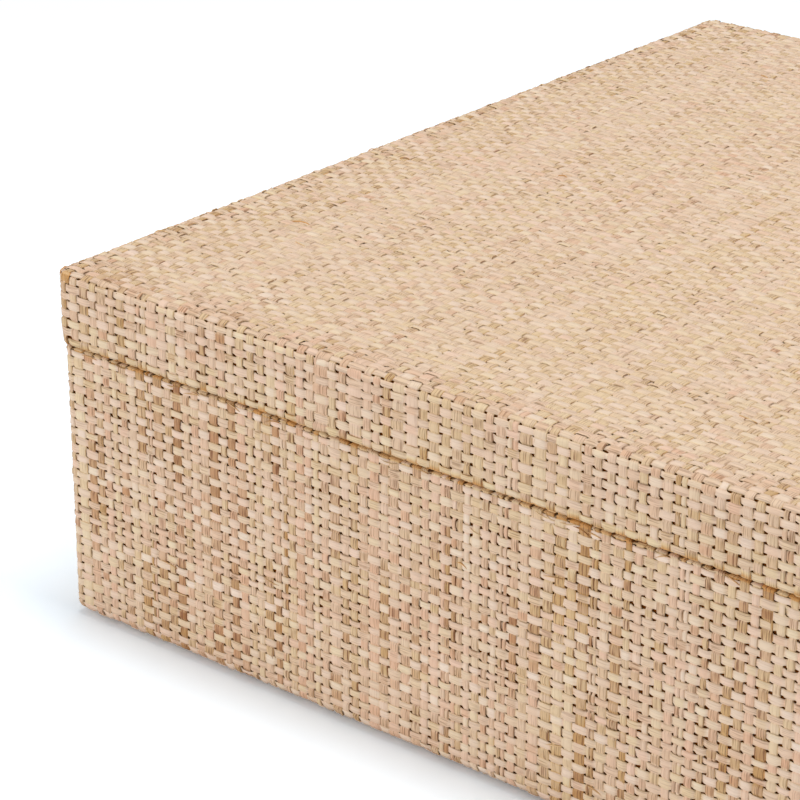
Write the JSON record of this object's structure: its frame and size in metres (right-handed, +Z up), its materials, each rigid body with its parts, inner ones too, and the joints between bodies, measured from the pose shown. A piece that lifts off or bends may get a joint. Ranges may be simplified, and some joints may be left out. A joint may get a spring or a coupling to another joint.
{
  "type": "woven lidded box",
  "caption": "Low rectangular keepsake box of thin boards covered in plain-woven raffia cloth, with a flush lift-off lid that drops over a lined inner neck.",
  "frame": {"origin": "centre of the underside, on the surface that the box stands on", "axes": "+X along the width to the viewer's right, +Y from the front to the back, +Z up"},
  "size_m": [0.402, 0.302, 0.1],
  "materials": {
    "raffia": "plain weave of natural raffia strips with a faint waxy sheen",
    "fibreboard": "plain sanded wood-fibre board, hidden under the cloth",
    "lining": "natural linen cloth over card, matte",
    "card": "grey-brown card, matte",
    "felt": "thin taupe felt"
  },
  "bodies": {
    "base": {"underside_felt": "felt", "underside_infill_card": "card", "base_floor_board": "fibreboard", "base_front_board": "fibreboard", "base_back_board": "fibreboard", "base_left_board": "fibreboard", "base_right_board": "fibreboard", "base_raffia_cover": "raffia", "base_front_liner": "lining", "base_back_liner": "lining", "base_left_liner": "lining", "base_right_liner": "lining", "base_floor_liner": "lining"},
    "lid": {"lid_raffia_cover": "raffia", "lid_top_board": "fibreboard", "lid_front_rail": "fibreboard", "lid_back_rail": "fibreboard", "lid_left_rail": "fibreboard", "lid_right_rail": "fibreboard", "lid_top_liner": "lining", "lid_front_liner": "lining", "lid_back_liner": "lining", "lid_left_liner": "lining", "lid_right_liner": "lining"}
  },
  "joints": [
    {"name": "lid_lift", "type": "slide", "parent": "base", "child": "lid", "axis": [0, 0, 1], "range_m": [0, 0.15]}
  ]
}
